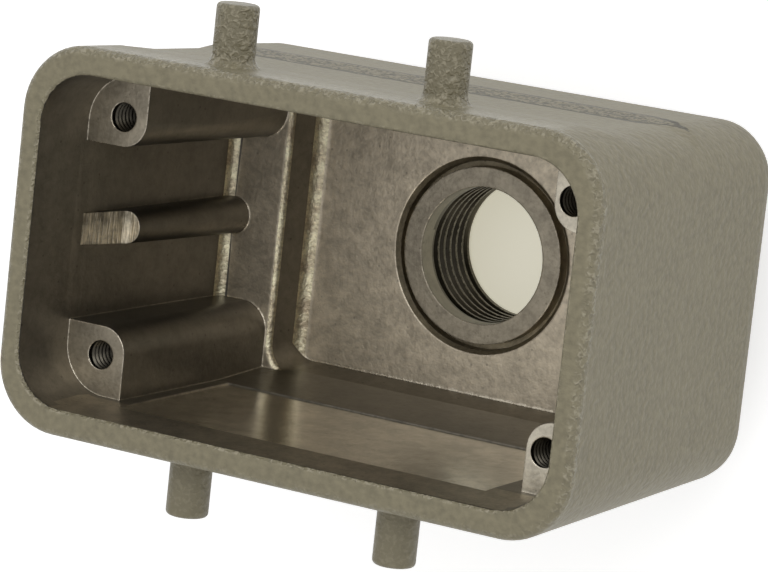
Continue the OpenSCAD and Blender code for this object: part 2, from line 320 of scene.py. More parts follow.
class HOOD_OT_casting(bpy.types.Operator):
    """Copies the solid hood and merges it to one tidy skin with the visible piece's name"""
    bl_idname = "hood.casting"
    bl_label = "Casting"

    def execute(self, context):
        node = frame["nodes"]["hood"]
        skin = bpy.data.objects.new(PIECE, node.data.copy())
        context.scene.collection.objects.link(skin)
        creases = crease_angles(skin.data)
        activate(skin)
        bpy.ops.object.mode_set(mode="EDIT")
        bpy.ops.mesh.select_all(action="SELECT")
        bpy.ops.mesh.customdata_custom_splitnormals_clear()
        bpy.ops.mesh.remove_doubles(threshold=5e-7)
        bpy.ops.mesh.dissolve_degenerate(threshold=1e-6)
        bpy.ops.mesh.faces_shade_smooth()
        leave_edit()

        def is_crease(a, b):
            angle = math.degrees(creases.get(place_key(a, b), 0))
            return SOFT_BEND < angle < STRIP_BEND or angle > SHARP_BEND

        pick_edges(skin, is_crease)
        bpy.ops.mesh.mark_sharp()
        leave_edit()
        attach(skin, "root")
        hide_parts("hood")
        return {"FINISHED"}


class HOOD_OT_entry_thread(bpy.types.Operator):
    """Cuts the thread of the round cable entry"""
    bl_idname = "hood.entry_thread"
    bl_label = "Cable entry thread"

    def execute(self, context):
        sizes = context.scene.hood_threads
        wall = helical_wall(
            "entry_thread", ENTRY_R, sizes.entry_pitch, sizes.entry_depth,
            FLOOR_Z, ENTRY_CHAMFER_Z, sizes.entry_lead, ENTRY_TAIL, ENTRY_STEPS)
        swap_hole_wall(wall, AXIS, ENTRY_R, FLOOR_Z, ENTRY_CHAMFER_Z)
        return {"FINISHED"}


class HOOD_OT_screw_threads(bpy.types.Operator):
    """Taps the four holes of the insert's screws"""
    bl_idname = "hood.screw_threads"
    bl_label = "Screw threads"

    def execute(self, context):
        sizes = context.scene.hood_threads
        first = helical_wall(
            "screw_thread", HOLE_R, sizes.screw_pitch, sizes.screw_depth,
            SEAT_Z, HOLE_LOW_Z, sizes.screw_lead, SCREW_TAIL, SCREW_STEPS)
        for sx in (1, -1):
            for sy in (1, -1):
                wall = bpy.data.objects.new("screw_thread_copy", first.data.copy())
                context.scene.collection.objects.link(wall)
                swap_hole_wall(wall, (sx * HOLE_X, sy * HOLE_Y), HOLE_R, SEAT_Z, HOLE_LOW_Z)
        bpy.data.objects.remove(first)
        return {"FINISHED"}


def add_node(tree, kind, settings=None, links=None):
    """Adds a node. Settings are attributes or input values, links are output sockets."""
    node = tree.nodes.new(kind)
    for key, value in (settings or {}).items():
        if isinstance(key, int) or key in node.inputs:
            node.inputs[key].default_value = value
        else:
            setattr(node, key, value)
    for key, socket in (links or {}).items():
        tree.links.new(socket, node.inputs[key])
    return node


def new_material(name, display):
    """An empty node material and its tree. The display colour is for the solid view."""
    mat = bpy.data.materials.new(name)
    mat.use_nodes = True
    mat.diffuse_color = (*display, 1)
    tree = mat.node_tree
    tree.nodes.clear()
    return mat, tree


def shift_colour(colour, gain):
    """The colour made lighter or darker by a factor, with its alpha."""
    return (*[min(c * gain, 1) for c in colour], 1)


# Sizes of the paint's patterns as they show in the photo. A sprayed enamel's own mist is finer
# than a pixel, so it is left to the roughness.
PEEL = 0.8 * MM
WRINKLE = 0.4762 * MM
HAZE = 9.09 * MM

# Where the paint gathered: up the rim's rounded edge, out along a peg's foot and its shank. The
# mask is stronger towards +Y, where its pale beads are painted highlights. Each pair gives the
# places where the mask starts and ends.
RIM_RISE = (53.3 * MM, 53.9 * MM)
FOOT_START = (21.55 * MM, 21.8 * MM)
FOOT_END = (24.3 * MM, 22.9 * MM)
SHANK_START = (22.2 * MM, 22.8 * MM)
UPPER_PEG = (-15 * MM, 5 * MM)

# The recess's lower ramp: the X over which it tapers, its half width at both ends of that, the
# Y over which its side of the hood begins, and how far the grain makes its outline wave.
RAMP_TAPER = (26 * MM, 33.6 * MM)
RAMP_HALF_W = (2.6 * MM, -1 * MM)
RECESS_SIDE = (16.5 * MM, 17.5 * MM)
RAMP_WAVE = 1.4 * MM
RAMP_OUTLINE = (0.6 * MM, 0.85 * MM)
RAMP_BORDER = (1.6 * MM, 1.2 * MM)


def textured_paint(colour, bead_highlight_colour):
    """Satin enamel sprayed heavily on a die casting, with an orange-peel grain about 0.8 mm across.
    Along the rim's edges and on the pegs it gathered and wrinkled, about 0.5 mm across, and the
    wrinkles' crests are painted paler as highlights, more so towards +Y.
    The ramp of the recess has dark wavy borders and dark pits about 0.4 mm across between them."""
    mat, tree = new_material("textured_enamel_sprayed", colour)
    place = add_node(tree, "ShaderNodeTexCoord")
    where = place.outputs["Object"]
    at = add_node(tree, "ShaderNodeSeparateXYZ", None, {0: where})
    facing = add_node(tree, "ShaderNodeSeparateXYZ", None, {0: place.outputs["Normal"]})
    side = add_node(tree, "ShaderNodeMath", {"operation": "ABSOLUTE"}, {0: at.outputs["Y"]})
    end = add_node(tree, "ShaderNodeMath", {"operation": "ABSOLUTE"}, {0: at.outputs["X"]})
    peel = add_node(tree, "ShaderNodeTexNoise",
                    {"Scale": 1 / PEEL, "Detail": 2.0, "Roughness": 0.5}, {"Vector": where})
    wrinkle = add_node(tree, "ShaderNodeTexNoise",
                       {"Scale": 1 / WRINKLE, "Detail": 1.0, "Distortion": 0.7},
                       {"Vector": where})
    cloud = add_node(tree, "ShaderNodeTexNoise",
                     {"Scale": 1 / HAZE, "Detail": 3.0, "Roughness": 0.6}, {"Vector": where})

    rim_height = add_node(tree, "ShaderNodeMapRange",
                          {"From Min": RIM_RISE[0], "From Max": RIM_RISE[1]},
                          {"Value": at.outputs["Z"]})
    rim_turn = add_node(tree, "ShaderNodeMapRange", {"From Min": 0.995, "From Max": 0.93},
                        {"Value": facing.outputs["Z"]})
    on_rim = add_node(tree, "ShaderNodeMath", {"operation": "MULTIPLY"},
                      {0: rim_height.outputs["Result"], 1: rim_turn.outputs["Result"]})
    foot_start = add_node(tree, "ShaderNodeMapRange",
                          {"From Min": FOOT_START[0], "From Max": FOOT_START[1]},
                          {"Value": side.outputs["Value"]})
    foot_end = add_node(tree, "ShaderNodeMapRange",
                        {"From Min": FOOT_END[0], "From Max": FOOT_END[1]},
                        {"Value": side.outputs["Value"]})
    on_foot = add_node(tree, "ShaderNodeMath", {"operation": "MULTIPLY"},
                       {0: foot_start.outputs["Result"], 1: foot_end.outputs["Result"]})
    on_shank = add_node(tree, "ShaderNodeMapRange",
                        {"From Min": SHANK_START[0], "From Max": SHANK_START[1],
                         "To Max": 0.7},
                        {"Value": side.outputs["Value"]})
    on_peg = add_node(tree, "ShaderNodeMath", {"operation": "MAXIMUM"},
                      {0: on_foot.outputs["Value"], 1: on_shank.outputs["Result"]})
    # Painted light: the beads' pale highlights fade on faces and pegs towards -Y.
    upper_edge = add_node(tree, "ShaderNodeMapRange",
                          {"From Min": -0.6, "From Max": 0.1, "To Min": 0.3},
                          {"Value": facing.outputs["Y"]})
    upper_peg = add_node(tree, "ShaderNodeMapRange",
                         {"From Min": UPPER_PEG[0], "From Max": UPPER_PEG[1], "To Min": 0.35},
                         {"Value": at.outputs["Y"]})
    thick_and_lit_rim = add_node(tree, "ShaderNodeMath", {"operation": "MULTIPLY"},
                         {0: on_rim.outputs["Value"], 1: upper_edge.outputs["Result"]})
    thick_and_lit_peg = add_node(tree, "ShaderNodeMath", {"operation": "MULTIPLY"},
                         {0: on_peg.outputs["Value"], 1: upper_peg.outputs["Result"]})
    thick_and_lit = add_node(tree, "ShaderNodeMath", {"operation": "MAXIMUM"},
                     {0: thick_and_lit_rim.outputs["Value"], 1: thick_and_lit_peg.outputs["Value"]})
    # Pale crests of the wrinkles, painted as highlights.
    crests = add_node(tree, "ShaderNodeMapRange",
                      {"From Min": 0.50, "From Max": 0.66, "To Max": 0.75},
                      {"Value": wrinkle.outputs["Fac"]})
    bead_highlights = add_node(tree, "ShaderNodeMath", {"operation": "MULTIPLY"},
                     {0: crests.outputs["Result"], 1: thick_and_lit.outputs["Value"]})

    # How far a point lies within the ramp's outline, which tapers to a tip at each end.
    reach = add_node(tree, "ShaderNodeMapRange",
                     {"From Min": RAMP_TAPER[0], "From Max": RAMP_TAPER[1],
                      "To Min": RAMP_HALF_W[0], "To Max": RAMP_HALF_W[1]},
                     {"Value": end.outputs["Value"]})
    below = add_node(tree, "ShaderNodeMath", {"operation": "SUBTRACT", 1: RAMP_Z},
                     {0: at.outputs["Z"]})
    off = add_node(tree, "ShaderNodeMath", {"operation": "ABSOLUTE"},
                   {0: below.outputs["Value"]})
    inward = add_node(tree, "ShaderNodeMath", {"operation": "SUBTRACT"},
                      {0: reach.outputs["Result"], 1: off.outputs["Value"]})
    wavy = add_node(tree, "ShaderNodeMath", {"operation": "MULTIPLY_ADD", 1: RAMP_WAVE},
                    {0: peel.outputs["Fac"], 2: inward.outputs["Value"]})
    recess_side = add_node(tree, "ShaderNodeMapRange",
                           {"From Min": RECESS_SIDE[0], "From Max": RECESS_SIDE[1]},
                           {"Value": at.outputs["Y"]})
    outline = add_node(tree, "ShaderNodeMapRange",
                       {"From Min": RAMP_OUTLINE[0], "From Max": RAMP_OUTLINE[1]},
                       {"Value": wavy.outputs["Value"]})
    on_ramp = add_node(tree, "ShaderNodeMath", {"operation": "MULTIPLY"},
                       {0: outline.outputs["Result"], 1: recess_side.outputs["Result"]})
    border = add_node(tree, "ShaderNodeMapRange",
                      {"From Min": RAMP_BORDER[0], "From Max": RAMP_BORDER[1],
                       "To Max": 0.95},
                      {"Value": wavy.outputs["Value"]})
    ramp_border = add_node(tree, "ShaderNodeMath", {"operation": "MULTIPLY"},
                           {0: border.outputs["Result"], 1: on_ramp.outputs["Value"]})
    pitted = add_node(tree, "ShaderNodeMapRange",
                      {"From Min": 0.54, "From Max": 0.42, "To Max": 0.9},
                      {"Value": wrinkle.outputs["Fac"]})
    pits = add_node(tree, "ShaderNodeMath", {"operation": "MULTIPLY"},
                    {0: pitted.outputs["Result"], 1: on_ramp.outputs["Value"]})

    grain = add_node(tree, "ShaderNodeMapRange", {"From Min": 0.3, "From Max": 0.7},
                     {"Value": peel.outputs["Fac"]})
    haze = add_node(tree, "ShaderNodeMapRange",
                    {"From Min": 0.45, "From Max": 0.75, "To Max": 0.5},
                    {"Value": cloud.outputs["Fac"]})
    tone = add_node(tree, "ShaderNodeMix",
                    {"data_type": "RGBA", "A": shift_colour(colour, 0.86),
                     "B": shift_colour(colour, 1.14)}, {"Factor": grain.outputs["Result"]})
    for mask, over in (
            (haze.outputs["Result"], shift_colour(colour, 1.12)),
            (on_shank.outputs["Result"], shift_colour(colour, 0.8)),
            (bead_highlights.outputs["Value"], (*bead_highlight_colour, 1)),
            (pits.outputs["Value"], shift_colour(colour, 0.32)),
            (ramp_border.outputs["Value"], shift_colour(colour, 0.3))):
        tone = add_node(tree, "ShaderNodeMix", {"data_type": "RGBA", "B": over},
                        {"Factor": mask, "A": tone.outputs["Result"]})
    low = add_node(tree, "ShaderNodeBump", {"Strength": 0.9, "Distance": 0.25 * MM},
                   {"Height": peel.outputs["Fac"]})
    high = add_node(tree, "ShaderNodeBump", {"Distance": 0.35 * MM},
                    {"Height": wrinkle.outputs["Fac"], "Strength": thick_and_lit.outputs["Value"],
                     "Normal": low.outputs["Normal"]})
    gloss = add_node(tree, "ShaderNodeMapRange", {"To Min": 0.5, "To Max": 0.34},
                     {"Value": thick_and_lit.outputs["Value"]})
    skin = add_node(tree, "ShaderNodeBsdfPrincipled", {"Metallic": 0.0, "IOR": 1.45},
                    {"Base Color": tone.outputs["Result"], "Roughness": gloss.outputs["Result"],
                     "Normal": high.outputs["Normal"]})
    add_node(tree, "ShaderNodeOutputMaterial", None, {"Surface": skin.outputs["BSDF"]})
    return mat


# Sizes of the patterns that all the bare metal shares. A pore is about a sixth of its cell.
MOTTLE = 2.381 * MM
PORE_CELL = 1.613 * MM
VEIN = 3.846 * MM

# Where the bright line along the floor's border starts and ends, in from the border and down
# from the shelves. The line is partly wear and partly a painted highlight.
BORDER_LINE = (0.45 * MM, 0.25 * MM)
BORDER_DROP = (1 * MM, 2 * MM)


def bare_metal(name, colour, worn_and_highlight, look):
    """Bare aluminium alloy, mottled over 2 to 3 mm, specked finely, with pores about 0.3 mm
    across, thin veins and edges made bright, partly by wear and partly as painted highlights.
    METALS explains what the look holds."""
    mat, tree = new_material(name, colour)
    where = add_node(tree, "ShaderNodeTexCoord").outputs["Object"]
    at = add_node(tree, "ShaderNodeSeparateXYZ", None, {0: where})
    drawn = add_node(tree, "ShaderNodeMapping", {"Scale": (1, look.get("lay", 1), 1)},
                     {"Vector": where})
    mottle = add_node(tree, "ShaderNodeTexNoise",
                      {"Scale": 1 / MOTTLE, "Detail": 6.0, "Roughness": 0.6}, {"Vector": where})
    specks = add_node(tree, "ShaderNodeTexNoise",
                      {"Scale": 1 / look["grain"], "Detail": 2.0, "Roughness": 0.55},
                      {"Vector": drawn.outputs["Vector"]})
    pores = add_node(tree, "ShaderNodeTexVoronoi", {"Scale": 1 / PORE_CELL, "Randomness": 1.0},
                     {"Vector": where})
    veins = add_node(tree, "ShaderNodeTexNoise",
                     {"Scale": 1 / VEIN, "Detail": 5.0, "Roughness": 0.65, "Distortion": 1.2},
                     {"Vector": where})
    vein_middle = add_node(tree, "ShaderNodeMath", {"operation": "SUBTRACT", 1: 0.5},
                           {0: veins.outputs["Fac"]})
    vein_distance = add_node(tree, "ShaderNodeMath", {"operation": "ABSOLUTE"},
                             {0: vein_middle.outputs["Value"]})
    rounded = add_node(tree, "ShaderNodeBevel", {"samples": 6, "Radius": look["edge_r"]})
    real = add_node(tree, "ShaderNodeNewGeometry")
    along = add_node(tree, "ShaderNodeVectorMath", {"operation": "DOT_PRODUCT"},
                     {0: rounded.outputs["Normal"], 1: real.outputs["Normal"]})

    cloudy = add_node(tree, "ShaderNodeMapRange", {"From Min": 0.36, "From Max": 0.64},
                      {"Value": mottle.outputs["Fac"]})
    light_specks = add_node(tree, "ShaderNodeMapRange",
                            {"From Min": 0.5, "From Max": 0.75, "To Max": look["spread"] * 2},
                            {"Value": specks.outputs["Fac"]})
    dark_specks = add_node(tree, "ShaderNodeMapRange",
                           {"From Min": 0.5, "From Max": 0.25, "To Max": look["spread"] * 2},
                           {"Value": specks.outputs["Fac"]})
    open_pores = add_node(tree, "ShaderNodeMapRange",
                          {"From Min": 0.11, "From Max": 0.06, "To Max": 0.5},
                          {"Value": pores.outputs["Distance"]})
    thin_veins = add_node(tree, "ShaderNodeMapRange",
                          {"From Min": 0.012, "From Max": 0.0, "To Max": 0.3},
                          {"Value": vein_distance.outputs["Value"]})
    tone = add_node(tree, "ShaderNodeMix",
                    {"data_type": "RGBA", "A": shift_colour(colour, 1 - look["spread"]),
                     "B": shift_colour(colour, 1 + look["spread"])},
                    {"Factor": cloudy.outputs["Result"]})
    for mask, gain in ((light_specks, 1.3), (dark_specks, 0.55), (open_pores, 0.35),
                       (thin_veins, 0.5)):
        tone = add_node(tree, "ShaderNodeMix",
                        {"data_type": "RGBA", "B": shift_colour(colour, gain)},
                        {"Factor": mask.outputs["Result"], "A": tone.outputs["Result"]})
    # Painted light or shade: the tone is scaled along one axis, darker deeper down at the ends and on
    # the shelves, lighter towards +X in the groove.
    if "shade" in look:
        axis, start, finish, gain = look["shade"]
        depth = add_node(tree, "ShaderNodeMapRange", {"From Min": start, "From Max": finish},
                         {"Value": at.outputs[axis]})
        tone = add_node(tree, "ShaderNodeMix",
                        {"data_type": "RGBA", "blend_type": "MULTIPLY", "B": (*[gain] * 3, 1)},
                        {"Factor": depth.outputs["Result"], "A": tone.outputs["Result"]})

    # Edges and inner corners are mixed towards the worn colour: partly wear, partly painted highlights
    # where their rounding would catch light.
    bend = add_node(tree, "ShaderNodeMapRange",
                    {"From Min": 0.985, "From Max": 0.86, "To Max": look["edges"]},
                    {"Value": along.outputs["Value"]})
    ragged = add_node(tree, "ShaderNodeMapRange", {"From Min": 0.36, "From Max": 0.54},
                      {"Value": specks.outputs["Fac"]})
    # A bright line along the floor's border, partly wear and partly a painted highlight.
    if "border" in look:
        side = add_node(tree, "ShaderNodeMath", {"operation": "ABSOLUTE"}, {0: at.outputs["Y"]})
        border = add_node(tree, "ShaderNodeMapRange",
                          {"From Min": look["border"] - BORDER_LINE[0],
                           "From Max": look["border"] - BORDER_LINE[1]},
                          {"Value": side.outputs["Value"]})
        low = add_node(tree, "ShaderNodeMapRange",
                       {"From Min": SHELF_Z - BORDER_DROP[0],
                        "From Max": SHELF_Z - BORDER_DROP[1]},
                       {"Value": at.outputs["Z"]})
        line = add_node(tree, "ShaderNodeMath", {"operation": "MULTIPLY"},
                        {0: border.outputs["Result"], 1: low.outputs["Result"]})
        either = add_node(tree, "ShaderNodeMath", {"operation": "MAXIMUM"},
                          {0: line.outputs["Value"], 1: bend.outputs["Result"]})
        bend = add_node(tree, "ShaderNodeMapRange", None, {"Value": either.outputs["Value"]})
    edge = add_node(tree, "ShaderNodeMath", {"operation": "MULTIPLY"},
                    {0: bend.outputs["Result"], 1: ragged.outputs["Result"]})
    tone = add_node(tree, "ShaderNodeMix", {"data_type": "RGBA", "B": (*worn_and_highlight, 1)},
                    {"Factor": edge.outputs["Value"], "A": tone.outputs["Result"]})
    relief = add_node(tree, "ShaderNodeBump", {"Strength": 0.6, "Distance": look["relief"]},
                      {"Height": specks.outputs["Fac"], "Normal": rounded.outputs["Normal"]})
    gloss = add_node(tree, "ShaderNodeMapRange", {"To Min": look["roughness"], "To Max": 0.22},
                     {"Value": edge.outputs["Value"]})
    skin = add_node(tree, "ShaderNodeBsdfPrincipled", {"Metallic": 1.0},
                    {"Base Color": tone.outputs["Result"], "Roughness": gloss.outputs["Result"],
                     "Normal": relief.outputs["Normal"]})
    add_node(tree, "ShaderNodeOutputMaterial", None, {"Surface": skin.outputs["BSDF"]})
    return mat


# How close to a plane counts as on it, and how near to a curved wall counts as on that.
ON_PLANE = 0.02 * MM
ON_WALL = 0.05 * MM

# Least share of a face's normal that points up, or along Y, for the faces that are told by it.
LEVEL = 0.99
NEARLY_LEVEL = 0.985
LAND_FACING = 0.9995
LEAD_IN_FACING = 0.97

# Shares of the normal that tell a fillet, a trimmed end or the groove's wall from the walls
# and floors beside it. A fillet at the end walls may be steeper than the step's.
STEP_FILLET_UP = 0.32
WEB_FILLET_UP = 0.12
FILLET_ALONG_X = 0.1
FILLET_ALONG_Y = 0.75
RIB_END_UP = 0.12
GROOVE_WALL_UP = 0.9

# Where the bare metal ends: midway in the wall, just below the rim, and round the entry.
WALL_MIDDLE = 0.9 * MM
PAINT_EDGE = 0.3 * MM
GROOVE_RIM_R = GROOVE_R + 0.6 * MM
GROOVE_LOW_Z = FLOOR_Z - 2 * MM
GROOVE_BOTTOM_TOP = FLOOR_Z - 1 * MM
BORE_BARE_R = 9.2 * MM

# Outer radius of each thread with a margin, and the height at which it begins.
ENTRY_THREAD_R = ENTRY_R + 0.9 * MM
ENTRY_THREAD_TOP = FLOOR_Z - 2.3 * MM
HOLE_THREAD_R = 2.2 * MM
HOLE_THREAD_TOP = SEAT_Z - 0.01 * MM

# Where the ends of the cavity begin, and where the fillets of the end walls do.
END_X = 25 * MM
WEB_X = 26 * MM
WEB_FILLET_TOP = SHELF_Z + 1.3 * MM
RIB_HALF_W = 2.1 * MM
RIB_END_Z = (38 * MM, 46 * MM)


def is_inside(co):
    """True within the cavity and its entry, by the rounded rectangle midway in the wall."""
    dx = max(abs(co.x) - (MOUTH_HALF_L - MOUTH_CORNER_R), 0)
    dy = max(abs(co.y) - (MOUTH_HALF_W - MOUTH_CORNER_R), 0)
    within = math.hypot(dx, dy) < MOUTH_CORNER_R + WALL_MIDDLE
    in_cavity = within and FLOOR_Z - ON_WALL < co.z < HOOD_TOP - PAINT_EDGE
    in_groove = radius_at(co, AXIS) < GROOVE_RIM_R and co.z > GROOVE_LOW_Z
    in_bore = radius_at(co, AXIS) < BORE_BARE_R and co.z > ON_PLANE
    return in_cavity or in_groove or in_bore


def is_any(co, normal):
    """True everywhere, for the metal that is laid first."""
    return True


def is_end(co, normal):
    """True on the end walls with their bosses and ribs, which get painted shade deeper down."""
    return abs(co.x) > END_X and co.z > SHELF_Z


def is_painted_light_face(co, normal):
    """True on the boss faces at +X, which are painted paler as lit faces."""
    return co.x > 0 and abs(co.z - SEAT_Z) < ON_PLANE and normal.z > LEVEL


def is_floor(co, normal):
    """True on the floor and the shelves, which take a paler copy of the cast metal as painted light on
    upward faces.
    """
    low = co.z < SHELF_Z + ON_PLANE
    return low and normal.z > NEARLY_LEVEL and radius_at(co, AXIS) > RING_R


def is_land(co, normal):
    """True on the lands that were milled along the long walls."""
    on_land = abs(co.x) < LAND_HALF_L and co.z > LAND_LOW_Z and abs(co.y) < MOUTH_HALF_W
    return on_land and abs(normal.y) > LAND_FACING


def is_spot_faced(co, normal):
    """True on the bosses' faces, the top and side of the entry's ring, and the lead-in of the long
    walls, which takes this paler metal as painted light near the mouth."""
    r = radius_at(co, AXIS)
    boss = abs(co.z - SEAT_Z) < ON_PLANE and normal.z > LEVEL
    ring = r < RING_R and abs(co.z - FLOOR_Z) < ON_PLANE
    ring_side = abs(r - RING_R) < ON_WALL and co.z < FLOOR_Z
    # Painted light: the long walls near the mouth take the paler cut-face metal.
    lead_in_painted_light = co.z > LEAD_IN_Z and abs(normal.y) > LEAD_IN_FACING
    return boss or ring or ring_side or lead_in_painted_light


def is_threaded(co, normal):
    """True down in the entry's bore and in the screw holes, whose threads are darkened as painted
    shade.
    """
    from_hole = radius_at(Vector((abs(co.x), abs(co.y), 0)), (HOLE_X, HOLE_Y))
    bore = radius_at(co, AXIS) < ENTRY_THREAD_R and co.z < ENTRY_THREAD_TOP
    hole = from_hole < HOLE_THREAD_R and co.z < HOLE_THREAD_TOP
    return bore or hole


def is_groove(co, normal):
    """True on the outer wall, the chamfer and the bottom of the groove round the entry."""
    r = radius_at(co, AXIS)
    between = RING_R + ON_WALL < r < GROOVE_RIM_R and co.z < FLOOR_Z - ON_WALL
    bottom = RING_R < r < GROOVE_R + ON_WALL and co.z < GROOVE_BOTTOM_TOP
    return (between and normal.z < GROOVE_WALL_UP) or bottom


def is_bright_fillet(co, normal):
    """True on the fillets and rounded edges along the shelves, made bright partly by tumbling and
    partly as a painted highlight.
    """
    low = FLOOR_Z + ON_PLANE < co.z < WEB_FILLET_TOP
    least = STEP_FILLET_UP if abs(co.x) < WEB_X else WEB_FILLET_UP
    turned = abs(normal.x) > FILLET_ALONG_X and abs(normal.y) < FILLET_ALONG_Y
    return low and turned and least < normal.z < NEARLY_LEVEL


def is_rib_end(co, normal):
    """True on the slanted ends to which the two ribs were trimmed."""
    on_rib = abs(co.y) < RIB_HALF_W and abs(co.x) > WEB_X
    return on_rib and RIB_END_Z[0] < co.z < RIB_END_Z[1] and normal.z > RIB_END_UP


# The metals in the order in which they are laid on the inner faces. Each has its name, its
# colour in the panel, the test for its faces and its look: roughness, spread of its mottle and
# specks, size of its grain, relief of the specks, share of the edges made bright, partly by wear
# and partly as painted highlights, and how wide. Lay under 1 draws the specks out along Y, as a
# cutter does, shade is painted light or shade given as an axis, the start and finish on it and
# the gain there, and border is the Y where a bright line runs, partly wear and partly a painted
# highlight. The real grain of a die's skin or a cutter's marks is finer than a pixel, so each is
# drawn as coarse as it needs to show.
METALS = (
    # As it left the die: an even grey sheen under a soft mottle.
    ("aluminium_cast_wall", "wall", is_any,
     {"roughness": 0.40, "spread": 0.10, "grain": 0.7692 * MM, "relief": 0.04 * MM,
      "edges": 0.15, "edge_r": 0.25 * MM}),
    # The same skin at both ends, darkened from the mouth down as painted shade.
    ("aluminium_cast_end", "wall", is_end,
     {"roughness": 0.40, "spread": 0.10, "grain": 0.7692 * MM, "relief": 0.04 * MM,
      "edges": 0.15, "edge_r": 0.25 * MM, "shade": ("Z", 50 * MM, 38 * MM, 0.72)}),
    # Paler than the walls as painted light on upward faces, and more mottled. The shelves are darker
    # as painted shade, and a ragged bright line where the floor ends is partly wear and partly a
    # painted highlight.
    ("aluminium_cast_floor", "floor", is_floor,
     {"roughness": 0.46, "spread": 0.17, "grain": 0.5882 * MM, "relief": 0.08 * MM,
      "edges": 1.0, "edge_r": 0.4 * MM, "border": FLOOR_HALF_W,
      "shade": ("Z", FLOOR_Z + 2 * MM, SHELF_Z - 1 * MM, 0.84)}),
    # Cut smooth, so it mirrors the bosses in soft streaks.
    ("aluminium_milled", "milled", is_land,
     {"roughness": 0.22, "spread": 0.17, "grain": 0.4167 * MM, "relief": 0.02 * MM,
      "edges": 0.8, "edge_r": 0.25 * MM}),
    # Cut flat across the face: matt and finely specked, inside a bright edge that is partly wear
    # and partly a painted highlight.
    ("aluminium_spot_faced", "faced", is_spot_faced,
     {"roughness": 0.42, "spread": 0.18, "grain": 0.4545 * MM, "relief": 0.06 * MM,
      "edges": 1.0, "edge_r": 0.25 * MM}),
    # The same cut, painted paler as light falling on the bosses at +X.
    ("aluminium_clean_faced", "clean", is_painted_light_face,
     {"roughness": 0.42, "spread": 0.18, "grain": 0.4545 * MM, "relief": 0.06 * MM,
      "edges": 1.0, "edge_r": 0.25 * MM}),
    # Dark flanks as painted shade deep in the holes, with painted highlights on the crests.
    ("aluminium_tapped", "tapped", is_threaded,
     {"roughness": 0.34, "spread": 0.10, "grain": 0.4167 * MM, "relief": 0.02 * MM,
      "edges": 0.85, "edge_r": 0.2 * MM}),
    # A matt cast channel, lighter towards +X as painted light.
    ("aluminium_cast_groove", "groove", is_groove,
     {"roughness": 0.5, "spread": 0.2, "grain": 0.4167 * MM, "relief": 0.05 * MM,
      "edges": 0.5, "edge_r": 0.15 * MM, "shade": ("X", -2 * MM, 7 * MM, 1.5)}),
    # Fillets made bright, partly rubbed and partly a painted highlight, broken up by dark dents.
    ("aluminium_tumbled", "tumbled", is_bright_fillet,
     {"roughness": 0.45, "spread": 0.42, "grain": 0.3846 * MM, "relief": 0.2 * MM,
      "edges": 0.0, "edge_r": 0.2 * MM}),
    # Torn by the cutter in strong fine lines, light and dark.
    ("aluminium_trimmed", "trimmed", is_rib_end,
     {"roughness": 0.5, "spread": 0.6, "grain": 0.1923 * MM, "relief": 0.3 * MM,
      "edges": 0.3, "edge_r": 0.25 * MM, "lay": 0.08}),
)


class HOOD_OT_finish(bpy.types.Operator):
    """Paints the outside and leaves the inside as bare cast and milled metal"""
    bl_idname = "hood.finish"
    bl_label = "Paint and bare metal"

    def execute(self, context):
        look = context.scene.hood_finish
        hood = piece()
        hood.data.materials.clear()
        hood.data.materials.append(textured_paint(look.paint, look.bead_highlight))
        for name, tone, test, skin in METALS:
            hood.data.materials.append(bare_metal(name, getattr(look, tone), look.worn_and_highlight, skin))
            self.assign(hood, test)
        activate(hood)
        even = hood.modifiers.new("even_normals", "WEIGHTED_NORMAL")
        even.keep_sharp = True
        bpy.ops.object.modifier_apply(modifier=even.name)
        return {"FINISHED"}

    def assign(self, hood, test):
        """Gives the newest material to the inner faces that pass the test."""
        pick_faces(hood, lambda c, n, f: is_inside(c) and test(c, n))
        hood.active_material_index = len(hood.data.materials) - 1
        bpy.ops.object.material_slot_assign()
        leave_edit()


# The stage in metres: lamps with their place and size, and the card's own values.
HOOD_MIDDLE = (0, 0, 0.03)
FLOOR_SIZE = 6
KEY_AT = (0.22, 0.38, 0.60)
KEY_SIZE = 0.45
SIDE_AT = (0.60, 0.10, 0.06)
SIDE_SIZE = 0.30
CARD = (0.5, 0.5, 0.5, 1)
CARD_DISPLAY = (0.9, 0.9, 0.9)
BRIGHT_CARD = (0.95, 0.95, 0.95, 1)
WHITE = (1, 1, 1, 1)
WARM_WHITE = (0.9, 0.85, 0.64, 1)
UNDER_NECK = (12.5 * MM, 10 * MM)

# The camera that the photo's straight edges and circles give: its place in metres, its turn
# about X, Y and Z in degrees, and its lens and sensor in millimetres.
CAMERA_AT = (0.22949, 0.07399, 0.43599)
CAMERA_TURN = (-5.692, 30.526, 7.138)
CAMERA_LENS = 198.245
CAMERA_SENSOR = 36.0


def softbox(name, place, size, power):
    """A square soft lamp that faces the middle of the hood."""
    bpy.ops.object.light_add(type="AREA", location=place)
    lamp = bpy.context.object
    lamp.name = name
    lamp.data.size = size
    lamp.data.energy = power
    lamp.rotation_euler = (Vector(HOOD_MIDDLE) - lamp.location).to_track_quat("-Z", "Y").to_euler()


